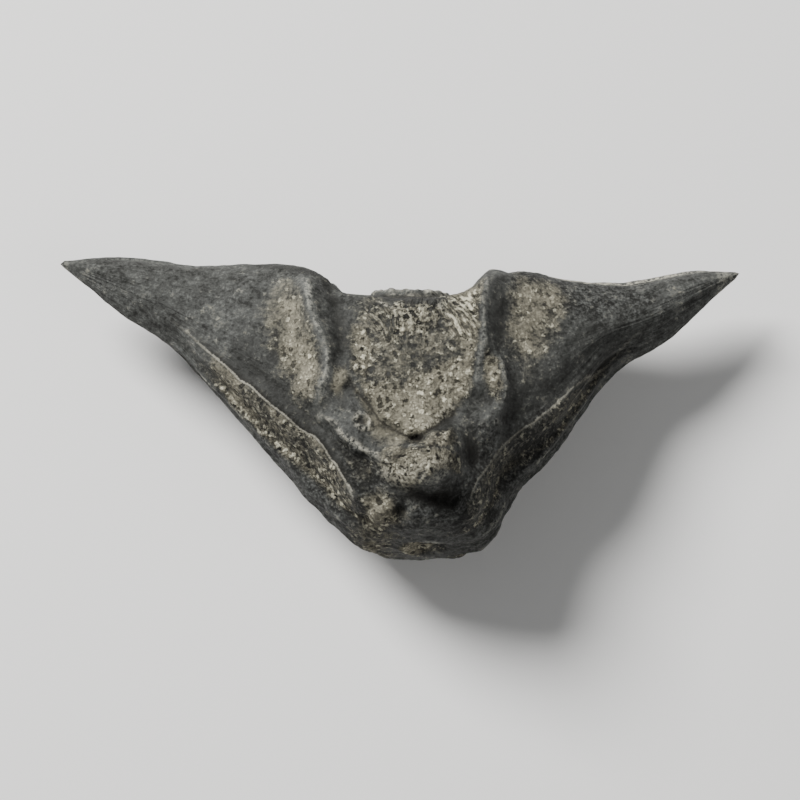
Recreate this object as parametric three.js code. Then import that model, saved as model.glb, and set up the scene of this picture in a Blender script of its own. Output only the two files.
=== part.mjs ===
// A water caltrop nut, the dry two-horned fruit of a floating water plant. It grows as one woody piece.
//
// Millimetres. The shell is shaped upright and then laid on its back:
//   x runs along the horns, y towards the crown, z out of the front face.
// Once it lies down, +Z is up, and the front face looks up.

import * as THREE from 'three'
import { mergeVertices } from 'three/addons/utils/BufferGeometryUtils.js'

const { clamp, degToRad, smoothstep } = THREE.MathUtils

// ---------------------------------------------------------------- driving dimensions

const SPAN = 69                 // horn tip to horn tip
const STEPS_ALONG = 72          // facets from one tip to the other
const STEPS_ROUND = 90          // facets round the shell

const LEAN_FORWARD = 5.9        // degrees that the crown end lies lower than the stem end
const LEAN_SIDEWAYS = 1.15      // degrees that the right horn lies lower than the left one
const FLAT_DEPTH = 0.3          // how much of each low point is worn flat by what it rests on

// Half of the shell as cross-sections, from the middle out to a horn's tip. Each section is a smooth
// closed curve: over the top edge, down the front by way of the brow, the middle of the face and the
// edge ridge to the keel below, and back up behind, where it is the same.
const SECTIONS = [
  { x: 0.0, top: 10.9, brow: [9.5, 6.3], face: [3.0, 8.4], edge: [-12.4, 7.0], keel: -14.1 },
  { x: 4.8, top: 11.3, brow: [10.0, 6.2], face: [3.2, 8.3], edge: [-11.8, 6.8], keel: -13.8 },
  { x: 6.7, top: 11.8, brow: [10.5, 6.0], face: [3.6, 8.1], edge: [-9.3, 6.5], keel: -13.1 },
  { x: 9.4, top: 14.2, brow: [12.5, 5.4], face: [4.8, 7.6], edge: [-5.0, 5.9], keel: -10.0 },
  { x: 12.0, top: 15.35, brow: [13.4, 4.5], face: [6.2, 6.7], edge: [-2.8, 5.3], keel: -6.6 },
  { x: 16.0, top: 15.45, brow: [13.8, 3.3], face: [8.2, 5.3], edge: [1.0, 4.2], keel: -1.4 },
  { x: 21.5, top: 15.35, brow: [13.9, 2.3], face: [10.4, 3.8], edge: [6.5, 2.7], keel: 5.2 },
  { x: 24.5, top: 15.75, brow: [14.5, 2.0], face: [11.8, 3.2], edge: [9.0, 2.2], keel: 7.7 },
  { x: 28.0, top: 16.2, brow: [15.1, 1.6], face: [13.3, 2.45], edge: [11.4, 1.65], keel: 10.2 },
  { x: SPAN / 2, top: 16.1, brow: [16.0, 0.25], face: [15.9, 0.3], edge: [15.8, 0.25], keel: 15.7 },
]

// Share of the way from the top edge (0) to the keel (1) at which each point of a section lies.
const BROW_AT = 0.13
const FACE_AT = 0.35
const EDGE_AT = 0.79

// Ridges (height above 0) and grooves (below 0) of the front face. A path is seen from the front, the
// widths are those of its left and right flanks when walking along it, fade is the share of the path
// over which the ridge rises at its start and sinks at its end, and a lower power gives a keener crest.
const ARC_HEIGHT = 1.2
const FRONT_LINES = [
  { // left arc, from the shoulder down beside the cheek
    path: [[-11.3, 13.6], [-10.5, 11.1], [-9.8, 8.2], [-8.9, 5.4], [-8.3, 3.3], [-8.2, 1.3], [-8.6, -0.4],
      [-9.4, -1.8], [-10.4, -2.6]],
    height: ARC_HEIGHT, widths: [0.9, 2.3], fade: [0.25, 0.2], power: 1.5,
  },
  { // right arc
    path: [[9.3, 14.4], [8.2, 12.5], [7.5, 10.5], [7.1, 8], [7.05, 6], [6.9, 4.4], [6.6, 2.7], [6.4, 1],
      [5.6, -0.5]],
    height: ARC_HEIGHT, widths: [1.0, 2.1], fade: [0.1, 0.35], power: 1.5,
  },
  { // thin ridge outside the foot of the right arc
    path: [[7.2, 4.6], [8.3, 3.1], [9, 1.6], [9.2, 0.4], [8.7, -1.6], [7.7, -4.6], [6.9, -7.4]],
    height: 0.85, widths: [0.7, 1.3], fade: [0.25, 0.3], power: 1.5,
  },
  { // rib from the left arc's foot to the nub
    path: [[-9.4, -2.4], [-7, -4.9], [-5.2, -6.4], [-3.2, -7.9]],
    height: 0.7, widths: [1.3, 0.6], fade: [0.15, 0],
  },
  { // groove along the left side of the shield
    path: [[-8.3, 12.6], [-7.6, 9.2], [-7.0, 5.4], [-6.9, 2.2]],
    height: -0.45, widths: [1.4, 0.9], fade: [0.15, 0.25],
  },
  { // the V in which the shield ends
    path: [[-6.4, 0.6], [-4.3, -2], [-1.9, -4.6], [0.4, -5.6], [2, -4.6], [3.7, -3.2], [4.9, -1.4]],
    height: -0.45, widths: [0.5, 0.5], fade: [0.15, 0.15],
  },
]

// Lines that both halves of a face share: the edge ridge and the hollow inside it. They are drawn on
// the right half, where they have only a share of the height that they have on the left one.
const RIGHT_EDGE_SHARE = 0.5
const SIDE_LINES = [
  {
    path: [[24.5, 9.2], [21.5, 6.5], [19, 4], [16, 1], [12, -2.8], [9.4, -5], [7.6, -7.6], [6.3, -9.9],
      [5.2, -12.4]],
    height: 0.75, widths: [1.0, 0.5], fade: [0.3, 0.08], power: 1.5,
  },
  {
    path: [[19, 5.5], [16, 2.5], [12, -1.1], [9.4, -3.5], [7, -6.6], [5.2, -9.6]],
    height: -0.35, widths: [1, 1], fade: [0.25, 0.15],
  },
]

// Round swellings (height above 0) and hollows (below 0) of the front face.
const PATCHES = [
  { at: [-0.3, 4.5], radii: [4.2, 5.5], turn: 0, height: 0.5 },           // shield
  { at: [-12.6, 5.6], radii: [2.6, 5.2], turn: 0.15, height: -0.5 },      // left cheek
  { at: [11.6, 7.6], radii: [3.0, 5.2], turn: -0.25, height: -0.6 },      // right cheek
  { at: [0.4, -5.6], radii: [0.75, 0.6], turn: 0, height: -0.9 },         // pit at the point of the V
  { at: [-4.9, -3.8], radii: [1.5, 1.2], turn: 0, height: 0.3 },          // swelling left of the V
  { at: [6.6, -1.9], radii: [1.4, 1.3], turn: 0, height: -0.45 },         // dip right of the V
  { at: [2.7, -5.9], radii: [1.8, 1.9], turn: 0.4, height: 0.8 },         // block between the V and the nub
  { at: [5.9, -6.4], radii: [0.9, 2.4], turn: 0.15, height: -0.35 },      // trough beside it
  { at: [-2.4, -7.3], radii: [1.4, 1.1], turn: -0.6, height: 0.5 },       // left end of the nub's lip
  { at: [-5.0, -8.6], radii: [1.1, 1.9], turn: 0.6, height: -0.4 },       // hollow below the left rib
  { at: [-7.0, 0.3], radii: [0.9, 0.9], turn: 0, height: 0.35 },          // bump inside the left arc's foot
]

const NUB = { at: [1.0, -8.8], side: 3.4, above: 3.4, below: 1.9, front: 3.6, back: 2.2 }
const CROWN = { x: -0.1, radius: 4.4, height: 1.1, pore: 1.2, poreDepth: 1.4 }
const STEM_SCAR = { x: 0.6, radius: 1.9, height: 0.4, moat: 2.6, moatDepth: 0.2 }
const LEFT_HORN_EXTRA = 1.0         // the left horn is longer than half the span by this
const RIGHT_HORN_DROOP = 1.7        // the right horn points a little lower than the left one
const RIGHT_WAIST_LIFT = 0.8        // the keel beside the stem is a little higher on that side
const RIGHT_KEEL_LIFT = 2.7         // and higher still halfway along the horn
const STEM_SHIFT = 1.1              // the stem end sits this far to the right

// ---------------------------------------------------------------- curves

/** Smooth curve through values at uneven knots, read at one place. */
function through(knots, values, at) {
  const last = knots.length - 1
  let i = knots.findIndex((knot) => knot > at) - 1
  if (i < 0) i = at < knots[0] ? 0 : last - 1
  const slope = (j) => {
    const before = Math.max(j - 1, 0)
    const after = Math.min(j + 1, last)
    return (values[after] - values[before]) / (knots[after] - knots[before])
  }
  const step = knots[i + 1] - knots[i]
  const f = (at - knots[i]) / step
  const g = 1 - f
  return values[i] * (1 + 2 * f) * g * g + slope(i) * step * f * g * g
    + values[i + 1] * f * f * (3 - 2 * f) - slope(i + 1) * step * f * f * g
}

/** A path as short straight pieces, smooth enough to measure distances to. */
function polyline(path) {
  return new THREE.SplineCurve(path.map(([x, y]) => new THREE.Vector2(x, y))).getPoints(32)
}

/** Distance from a place to a path, on which hand it lies (left is above 0), and how far along. */
function nearest(points, x, y) {
  const best = { distance: Infinity, hand: 1, along: 0 }
  for (let i = 0; i < points.length - 1; i++) {
    const from = points[i]
    const dx = points[i + 1].x - from.x
    const dy = points[i + 1].y - from.y
    const f = clamp(((x - from.x) * dx + (y - from.y) * dy) / (dx * dx + dy * dy), 0, 1)
    const distance = Math.hypot(x - from.x - f * dx, y - from.y - f * dy)
    if (distance < best.distance) {
      best.distance = distance
      best.hand = Math.sign(dx * (y - from.y) - dy * (x - from.x))
      best.along = (i + f) / (points.length - 1)
    }
  }
  return best
}

const withPoints = (line) => ({ ...line, points: polyline(line.path) })
const frontLines = FRONT_LINES.map(withPoints)
const sideLines = SIDE_LINES.map(withPoints)

// ---------------------------------------------------------------- the plain shell

const sectionAt = [-SECTIONS[1].x, ...SECTIONS.map((section) => section.x)]
const column = (pick) => [pick(SECTIONS[1]), ...SECTIONS.map(pick)]
const TABLE = {
  top: column((section) => section.top),
  browY: column((section) => section.brow[0]),
  browZ: column((section) => section.brow[1]),
  faceY: column((section) => section.face[0]),
  faceZ: column((section) => section.face[1]),
  edgeY: column((section) => section.edge[0]),
  edgeZ: column((section) => section.edge[1]),
  keel: column((section) => section.keel),
}
const ROUND_KNOTS = [-BROW_AT, 0, BROW_AT, FACE_AT, EDGE_AT, 1, 2 - EDGE_AT]

/** x at a share of the way out from the middle, -1 at the left tip to 1 at the right one. */
function alongHorns(share) {
  return (SPAN / 2) * (0.55 * share + 0.45 * share ** 3)
}

/** The plain shell, with no relief. round is 0 at the top edge, above 0 in front and 1 at the keel. */
function plainShell(share, round) {
  const x = alongHorns(share)
  const read = (values) => through(sectionAt, values, Math.abs(x))
  const top = read(TABLE.top)
  const keel = read(TABLE.keel)
  const [browY, browZ] = [read(TABLE.browY), read(TABLE.browZ)]
  const [faceY, faceZ] = [read(TABLE.faceY), read(TABLE.faceZ)]
  const [edgeY, edgeZ] = [read(TABLE.edgeY), read(TABLE.edgeZ)]
  const q = Math.abs(round)
  const y = through(ROUND_KNOTS, [browY, top, browY, faceY, edgeY, keel, edgeY], q)
  const z = through(ROUND_KNOTS, [-browZ, 0, browZ, faceZ, edgeZ, 0, -edgeZ], q)
  return new THREE.Vector3(x, y, round < 0 ? -z : z)
}

/** Outward direction of the plain shell, from its slopes along and round it. */
function outward(share, round) {
  const e = 1e-3
  const wrap = (v) => ((v + 3) % 2) - 1
  const low = clamp(share - e, -1, 1)
  const high = clamp(share + e, -1, 1)
  const along = plainShell(high, round).sub(plainShell(low, round))
  const across = plainShell(share, wrap(round + e)).sub(plainShell(share, wrap(round - e)))
  return across.cross(along).normalize()
}

// ---------------------------------------------------------------- relief

function lineRelief({ points, height, widths, fade, power = 2 }, x, y) {
  const { distance, hand, along } = nearest(points, x, y)
  const width = hand > 0 ? widths[0] : widths[1]
  const start = fade[0] > 0 ? smoothstep(along, 0, fade[0]) : 1
  const end = fade[1] > 0 ? smoothstep(1 - along, 0, fade[1]) : 1
  return height * Math.exp(-((distance / width) ** power)) * start * end
}

function patchRelief({ at, radii, turn, height }, x, y) {
  const [dx, dy] = [x - at[0], y - at[1]]
  const u = (dx * Math.cos(turn) + dy * Math.sin(turn)) / radii[0]
  const v = (dy * Math.cos(turn) - dx * Math.sin(turn)) / radii[1]
  return height * Math.exp(-((u * u + v * v) ** 1.5))
}

/** Height of the relief over one face, as seen from its own side. */
function faceRelief(x, y) {
  let height = 0
  for (const line of frontLines) height += lineRelief(line, x, y)
  for (const line of sideLines) {
    height += RIGHT_EDGE_SHARE * lineRelief(line, x, y) + lineRelief(line, -x, y)
  }
  for (const patch of PATCHES) height += patchRelief(patch, x, y)
  return height
}

/** The band between edge ridge and keel is a shallow trough with a rounded rim. */
function bandRelief(x, round) {
  const reach = smoothstep(Math.abs(x), 3, 6) * (1 - smoothstep(Math.abs(x), 19, 25))
  const q = Math.abs(round)
  const rim = Math.exp(-(((q - 0.945) / 0.022) ** 2))
  const trough = Math.exp(-(((q - 0.89) / 0.032) ** 2))
  return reach * (0.4 * rim - 0.35 * trough)
}

/** The top edge of each horn is drawn up to a narrow rim. */
function rimRelief(x, round) {
  const reach = smoothstep(Math.abs(x), 9, 12) * (1 - smoothstep(Math.abs(x), 29, 34))
  return 0.35 * reach * Math.exp(-((round / 0.018) ** 2))
}

/** How far the nub below the shield stands out, as a share of its height. */
function nubShare(x, y) {
  const dy = y - NUB.at[1]
  const r = Math.hypot((x - NUB.at[0]) / NUB.side, dy / (dy > 0 ? NUB.above : NUB.below))
  return Math.exp(-1.3 * r ** 2.4)
}

/** One point of the finished shell, still upright. */
function shell(share, round) {
  const point = plainShell(share, round)
  const { x, y, z } = point
  const front = smoothstep(z, -1.2, 1.2)
  const body = 1 - smoothstep(Math.abs(x), 20, 27)
  const relief = faceRelief(x, y) * front + faceRelief(-x, y) * (1 - front)
  const height = relief * body + bandRelief(x, round) + rimRelief(x, round)
  point.addScaledVector(outward(share, round), height)

  const nubFront = NUB.front * nubShare(x, y) * smoothstep(z, 1, 4)
  const nubBack = NUB.back * nubShare(-x, y) * smoothstep(-z, 1, 4)
  point.z += nubFront - nubBack
  point.y -= 0.25 * (nubFront + nubBack)

  const fromCrown = Math.hypot(x - CROWN.x, z)
  const onTop = smoothstep(y, 7.5, 9.5)
  const collar = 1 - smoothstep(fromCrown, CROWN.radius - 0.6, CROWN.radius + 0.6)
  const pore = 1 - smoothstep(fromCrown, CROWN.pore - 0.8, CROWN.pore + 0.8)
  point.y += onTop * (CROWN.height * collar - CROWN.poreDepth * pore)

  const fromScar = Math.hypot(x - STEM_SCAR.x, z)
  const below = smoothstep(-y, 10, 13)
  const button = 1 - smoothstep(fromScar, STEM_SCAR.radius - 0.7, STEM_SCAR.radius + 0.7)
  const moat = Math.exp(-(((fromScar - STEM_SCAR.moat) / 0.7) ** 2))
  point.y += below * (STEM_SCAR.height * button - STEM_SCAR.moatDepth * moat)

  const droop = smoothstep(point.x, 8, 18) * (1 - 0.5 * smoothstep(point.x, 24, 34))
  const waist = smoothstep(point.x, 4, 9) * (smoothstep(y, -13, -9) - smoothstep(y, -8, 2))
  const keelLift = Math.exp(-(((point.x - 19.3) / 4) ** 2)) * smoothstep(Math.abs(round), 0.3, 0.8)
  point.y += RIGHT_WAIST_LIFT * waist + RIGHT_KEEL_LIFT * keelLift - RIGHT_HORN_DROOP * droop
  const outOnHorn = smoothstep(Math.abs(point.x), 12, SPAN / 2)
  point.x += STEM_SHIFT * smoothstep(-y, 7, 14) - LEFT_HORN_EXTRA * outOnHorn
  return point
}

// ---------------------------------------------------------------- the solid

/** Turns the upright shell onto its back, lowers it and wears its low points flat. */
function layDown(geometry) {
  geometry.rotateX(-degToRad(LEAN_FORWARD))
  geometry.rotateY(degToRad(LEAN_SIDEWAYS))
  geometry.computeBoundingBox()
  const { min, max } = geometry.boundingBox
  geometry.translate(-(min.x + max.x) / 2, -(min.y + max.y) / 2, -min.z - FLAT_DEPTH)
  const position = geometry.attributes.position
  for (let i = 0; i < position.count; i++) {
    position.setZ(i, Math.max(position.getZ(i), 0))
  }
}

/** Splits each four-sided facet along the diagonal over which it bends least. */
function settleDiagonals(geometry) {
  const position = geometry.attributes.position
  const index = geometry.index
  const corner = (i) => new THREE.Vector3().fromBufferAttribute(position, i)
  const facing = (i, j, k) => {
    return new THREE.Triangle(corner(i), corner(j), corner(k)).getNormal(new THREE.Vector3())
  }
  for (let t = 0; t + 5 < index.count; t += 3) {
    const [a, b, d, b2, c, d2] = [0, 1, 2, 3, 4, 5].map((k) => index.getX(t + k))
    if (b !== b2 || d !== d2) continue
    const asIs = facing(a, b, d).dot(facing(b, c, d))
    const turned = facing(a, b, c).dot(facing(a, c, d))
    if (turned > asIs) [a, b, c, a, c, d].forEach((corner, k) => index.setX(t + k, corner))
    t += 3
  }
}

function buildNut() {
  let geometry = new THREE.SphereGeometry(1, STEPS_ROUND, STEPS_ALONG)
  geometry.rotateZ(-Math.PI / 2)
  geometry.deleteAttribute('uv')
  geometry.deleteAttribute('normal')
  geometry = mergeVertices(geometry, 1e-5)
  const position = geometry.attributes.position
  for (let i = 0; i < position.count; i++) {
    const share = 1 - (2 * Math.acos(clamp(position.getX(i), -1, 1))) / Math.PI
    const round = Math.atan2(position.getZ(i), position.getY(i)) / Math.PI
    position.setXYZ(i, ...shell(share, round).toArray())
  }
  settleDiagonals(geometry)
  layDown(geometry)
  geometry.computeVertexNormals()
  const woodyShell = new THREE.MeshStandardMaterial({ color: 0x55544f, roughness: 0.72, metalness: 0 })
  const mesh = new THREE.Mesh(geometry, woodyShell)
  mesh.name = 'nut'
  return mesh
}

const waterCaltrop = new THREE.Group()
waterCaltrop.add(buildNut())

export default waterCaltrop
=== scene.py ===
"""A dried two-horned water caltrop nut, lying on its back on a pale surface.

The shell is shaped upright, in millimetres: x runs along the horns, y towards the crown and z out of the
front face. It is then laid on its back, so that the front face looks up, and turned into metres.
"""

import logging
import math
from dataclasses import dataclass
from enum import Enum
from typing import Callable, Optional, Sequence, Union

import bmesh
import bpy
import numpy as np
from mathutils import Matrix, Vector, noise


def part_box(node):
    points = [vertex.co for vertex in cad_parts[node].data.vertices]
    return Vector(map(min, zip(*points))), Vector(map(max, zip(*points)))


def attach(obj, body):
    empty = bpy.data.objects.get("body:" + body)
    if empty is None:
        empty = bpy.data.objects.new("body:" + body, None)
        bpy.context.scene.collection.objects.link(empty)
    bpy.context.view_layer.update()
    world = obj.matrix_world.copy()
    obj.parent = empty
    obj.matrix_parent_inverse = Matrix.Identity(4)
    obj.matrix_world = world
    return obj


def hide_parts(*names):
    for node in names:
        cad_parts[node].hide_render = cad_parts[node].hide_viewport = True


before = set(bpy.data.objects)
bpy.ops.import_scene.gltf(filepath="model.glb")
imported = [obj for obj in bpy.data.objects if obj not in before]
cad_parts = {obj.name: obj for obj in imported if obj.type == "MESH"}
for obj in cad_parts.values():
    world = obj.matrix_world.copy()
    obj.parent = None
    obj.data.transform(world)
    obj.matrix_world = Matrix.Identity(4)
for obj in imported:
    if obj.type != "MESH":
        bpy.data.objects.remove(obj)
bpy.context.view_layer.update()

log = logging.getLogger("caltrop")

MM = 0.001
Point = tuple[float, float]
Colour = tuple[float, float, float]
Array = np.ndarray


# ---------------------------------------------------------------- curves, soft steps and random patterns


def smoothstep(value: Array, low: float, high: float) -> Array:
    """Rises softly from 0 at low to 1 at high.

    Args:
        value: Where to read the step.
        low: Value at which the step starts.
        high: Value at which the step ends.

    Returns:
        The step's height at each value.
    """
    share = np.clip((value - low) / (high - low), 0.0, 1.0)
    return share * share * (3.0 - 2.0 * share)


def bell(distance: Array, width: Union[Array, float], power: float = 2.0) -> Array:
    """A bump of height 1, gone at about twice its width, with a keener crest at a lower power."""
    return np.exp(-(np.abs(distance / width) ** power))


def through(knots: Array, values: Array, at: Array) -> Array:
    """Reads a smooth curve through values that stand at uneven knots.

    Args:
        knots: Rising places of the values.
        values: One value per knot, or one row of values per knot with a column per reading place.
        at: Places to read.

    Returns:
        The curve's value at each place.
    """
    last = len(knots) - 1
    i = np.clip(np.searchsorted(knots, at, side="right") - 1, 0, last - 1)
    columns = np.arange(len(at))

    def pick(row: Array) -> Array:
        """The value that stands at a knot, for each reading place."""
        return values[row] if values.ndim == 1 else values[row, columns]

    def slope(row: Array) -> Array:
        """The curve's slope at a knot, from its neighbours."""
        before, after = np.maximum(row - 1, 0), np.minimum(row + 1, last)
        return (pick(after) - pick(before)) / (knots[after] - knots[before])

    step = knots[i + 1] - knots[i]
    f = (at - knots[i]) / step
    g = 1.0 - f
    rising = pick(i) * (1 + 2 * f) * g * g + slope(i) * step * f * g * g
    return rising + pick(i + 1) * f * f * (3 - 2 * f) - slope(i + 1) * step * f * f * g


class Seed(Enum):
    """The random patterns, each read at its own shift so that no two of them fall together."""

    BROAD_LUMPS = 1.0
    SMALL_LUMPS = 2.0
    FIBRES = 3.0
    SAND = 4.0
    SHIFT_X = 5.0
    SHIFT_Y = 6.0
    BRISTLES = 7.0
    CROWN_RIM = 8.0
    BREAKS = 9.0


PATTERN_SHIFT = 7.31
GRAIN_SHIFT = 5.17


def speckle(points: Array, size: float, octaves: int, seed: Seed) -> Array:
    """Soft random height over a surface.

    Args:
        points: Places in millimetres, one row each.
        size: Size of the largest lumps.
        octaves: How many finer layers are added.
        seed: Which pattern it is.

    Returns:
        A value between about -1 and 1 for each place.
    """
    moved = points / size + seed.value * PATTERN_SHIFT
    heights = (noise.fractal(Vector(p), 1.0, 2.1, octaves) for p in moved)
    return np.fromiter(heights, float, len(points))


def cells(points: Array, size: float) -> Array:
    """Distance to the nearest of many scattered grains, from 0 in a grain's middle to 0.7 between them."""
    moved = points / size + GRAIN_SHIFT
    return np.fromiter((noise.voronoi(Vector(p))[0][0] for p in moved), float, len(points))


# ---------------------------------------------------------------- relief of the shell


@dataclass(frozen=True)
class Line:
    """A ridge, or a groove with a height below 0, that follows a path over one face."""

    path: Sequence[Point]
    height: float
    widths: Point
    fade: Point = (0.0, 0.0)
    power: float = 2.0

    def polyline(self, steps: int = 32) -> Array:
        """Smooths the path.

        Args:
            steps: How many straight pieces it is cut into.

        Returns:
            The pieces' ends, one row each.
        """
        corners = np.array(self.path)
        lengths = np.hypot(*np.diff(corners, axis=0).T)
        knots = np.concatenate([[0.0], np.cumsum(lengths)])
        at = np.linspace(0.0, knots[-1], steps + 1)
        return np.stack([through(knots, corners[:, 0], at), through(knots, corners[:, 1], at)], axis=1)

    def nearest(self, x: Array, y: Array) -> tuple[Array, Array]:
        """Finds the nearest place on the line.

        Args:
            x: Places along the horns, seen from the face's own side.
            y: Places towards the crown.

        Returns:
            The distance to the line, above 0 on its left hand, and how strongly the line stands out there.
        """
        points = self.polyline()
        nearest = np.full(len(x), np.inf)
        hand = np.ones(len(x))
        along = np.zeros(len(x))
        pieces = len(points) - 1
        for i in range(pieces):
            from_x, from_y = points[i]
            dx, dy = points[i + 1] - points[i]
            f = np.clip(((x - from_x) * dx + (y - from_y) * dy) / (dx * dx + dy * dy), 0.0, 1.0)
            distance = np.hypot(x - from_x - f * dx, y - from_y - f * dy)
            closer = distance < nearest
            nearest = np.where(closer, distance, nearest)
            hand = np.where(closer, np.sign(dx * (y - from_y) - dy * (x - from_x)), hand)
            along = np.where(closer, (i + f) / pieces, along)
        strength = np.ones(len(x))
        if self.fade[0] > 0:
            strength = strength * smoothstep(along, 0.0, self.fade[0])
        if self.fade[1] > 0:
            strength = strength * smoothstep(1.0 - along, 0.0, self.fade[1])
        return nearest * hand, strength

    def relief(self, x: Array, y: Array) -> Array:
        """Reads the height that the line adds.

        Args:
            x: Places along the horns, seen from the face's own side.
            y: Places towards the crown.

        Returns:
            The height at each place, in millimetres.
        """
        distance, strength = self.nearest(x, y)
        width = np.where(distance > 0, self.widths[0], self.widths[1])
        return self.height * strength * bell(distance, width, self.power)


@dataclass(frozen=True)
class Patch:
    """A round swelling, or a hollow with a height below 0."""

    at: Point
    radii: Point
    height: float
    turn: float = 0.0

    def relief(self, x: Array, y: Array) -> Array:
        """Reads the height that the patch adds.

        Args:
            x: Places along the horns, seen from the face's own side.
            y: Places towards the crown.

        Returns:
            The height at each place, in millimetres.
        """
        dx, dy = x - self.at[0], y - self.at[1]
        cosine, sine = math.cos(self.turn), math.sin(self.turn)
        u, v = (dx * cosine + dy * sine) / self.radii[0], (dy * cosine - dx * sine) / self.radii[1]
        return self.height * np.exp(-((u * u + v * v) ** 1.5))


@dataclass(frozen=True)
class Area:
    """A many-sided area of a face with a soft edge, for a finish that lies there and for how gritty it is."""

    outline: Sequence[Point]
    strength: float = 1.0
    soft: float = 0.8
    grit: float = 0.7

    def cover(self, x: Array, y: Array) -> Array:
        """Finds how much of the area covers each place.

        Args:
            x: Places along the horns, seen from the face's own side.
            y: Places towards the crown.

        Returns:
            0 outside and the area's strength well inside.
        """
        nearest = np.full(len(x), np.inf)
        inside = np.zeros(len(x), bool)
        corners = list(self.outline)
        for (ax, ay), (bx, by) in zip(corners, corners[1:] + corners[:1]):
            dx, dy = bx - ax, by - ay
            f = np.clip(((x - ax) * dx + (y - ay) * dy) / (dx * dx + dy * dy), 0.0, 1.0)
            nearest = np.minimum(nearest, np.hypot(x - ax - f * dx, y - ay - f * dy))
            if ay != by:
                inside ^= ((ay > y) != (by > y)) & (x < ax + (y - ay) * dx / dy)
        depth = np.where(inside, nearest, -nearest)
        return self.strength * smoothstep(depth, -self.soft, self.soft)


# ---------------------------------------------------------------- forms of one face, seen from its own side


ARC_HEIGHT = 1.2

# the two arcs, from the shoulders down beside the cheeks
LEFT_ARC = Line(
    ((-11.3, 13.6), (-10.5, 11.1), (-9.8, 8.2), (-8.9, 5.4), (-8.3, 3.3), (-8.2, 1.3), (-8.6, -0.4),
     (-9.4, -1.8), (-10.4, -2.6)),
    ARC_HEIGHT, (0.9, 2.3), (0.25, 0.2), 1.5)
RIGHT_ARC = Line(
    ((9.3, 14.4), (8.2, 12.5), (7.5, 10.5), (7.1, 8.0), (7.05, 6.0), (6.9, 4.4), (6.6, 2.7), (6.4, 1.0),
     (5.6, -0.5)),
    ARC_HEIGHT, (1.0, 2.1), (0.1, 0.35), 1.5)
# thin ridge outside the foot of the right arc
THIN_RIDGE = Line(
    ((7.2, 4.6), (8.3, 3.1), (9.0, 1.6), (9.2, 0.4), (8.7, -1.6), (7.7, -4.6), (6.9, -7.4)),
    0.85, (0.7, 1.3), (0.25, 0.3), 1.5)
# rib from the left arc's foot to the nub
LEFT_RIB = Line(((-9.4, -2.4), (-7.0, -4.9), (-5.2, -6.4), (-3.2, -7.9)), 0.7, (1.3, 0.6), (0.15, 0.0))
# groove along the left side of the shield
SHIELD_GROOVE = Line(((-8.3, 12.6), (-7.6, 9.2), (-7.0, 5.4), (-6.9, 2.2)), -0.45, (1.4, 0.9), (0.15, 0.25))
# the V in which the shield ends
VEE = Line(
    ((-6.4, 0.6), (-4.3, -2.0), (-1.9, -4.6), (0.4, -5.6), (2.0, -4.6), (3.7, -3.2), (4.9, -1.4)),
    -0.45, (0.5, 0.5), (0.15, 0.15))

# the edge ridge, and the hollow inside it, drawn on the right half
EDGE_RIDGE = Line(
    ((24.5, 9.2), (21.5, 6.5), (19.0, 4.0), (16.0, 1.0), (12.0, -2.8), (9.4, -5.0), (7.6, -7.6),
     (6.3, -9.9), (5.2, -12.4)),
    0.75, (1.0, 0.5), (0.3, 0.08), 1.5)
EDGE_HOLLOW = Line(
    ((19.0, 5.5), (16.0, 2.5), (12.0, -1.1), (9.4, -3.5), (7.0, -6.6), (5.2, -9.6)),
    -0.35, (1.0, 1.0), (0.25, 0.15))

FRONT_LINES = (LEFT_ARC, RIGHT_ARC, THIN_RIDGE, LEFT_RIB, SHIELD_GROOVE, VEE)
SIDE_LINES = (EDGE_RIDGE, EDGE_HOLLOW)

PATCHES = (
    Patch((-0.3, 4.5), (4.2, 5.5), 0.5),                # shield
    Patch((-12.6, 5.6), (2.6, 5.2), -0.5, 0.15),        # left cheek
    Patch((11.6, 7.6), (3.0, 5.2), -0.6, -0.25),        # right cheek
    Patch((0.4, -5.6), (0.75, 0.6), -0.9),              # pit at the point of the V
    Patch((-4.9, -3.8), (1.5, 1.2), 0.3),               # swelling left of the V
    Patch((6.6, -1.9), (1.4, 1.3), -0.45),              # dip right of the V
    Patch((2.7, -5.9), (1.8, 1.9), 0.8, 0.4),           # block between the V and the nub
    Patch((5.9, -6.4), (0.9, 2.4), -0.35, 0.15),        # trough beside it
    Patch((-2.4, -7.3), (1.4, 1.1), 0.5, -0.6),         # left end of the nub's lip
    Patch((-5.0, -8.6), (1.1, 1.9), -0.4, 0.6),         # hollow below the left rib
    Patch((-7.0, 0.3), (0.9, 0.9), 0.35),               # bump inside the left arc's foot
)

SMALL_PATCHES = (
    Patch((-4.9, -3.8), (1.0, 0.85), 0.25),             # ring round a dimple, in the swelling left of the V
    Patch((-4.9, -3.8), (0.62, 0.5), -0.65),
    Patch((-4.0, -12.6), (0.8, 0.6), 0.4),              # knobs and pits at the stem end
    Patch((-2.1, -12.9), (0.5, 0.6), -0.5),
    Patch((-1.2, -12.5), (0.4, 0.8), 0.3, 0.3),
    Patch((0.3, -12.6), (1.6, 1.1), 0.3),
    Patch((3.4, -12.3), (0.35, 1.2), 0.3, -0.7),
    Patch((-9.9, 10.9), (0.5, 0.8), 0.25, 0.3),         # knob at the upper end of the left arc
    Patch((-9.9, 10.9), (0.2, 0.3), -0.35, 0.3),
)


# ---------------------------------------------------------------- where finishes lie on one face


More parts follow.
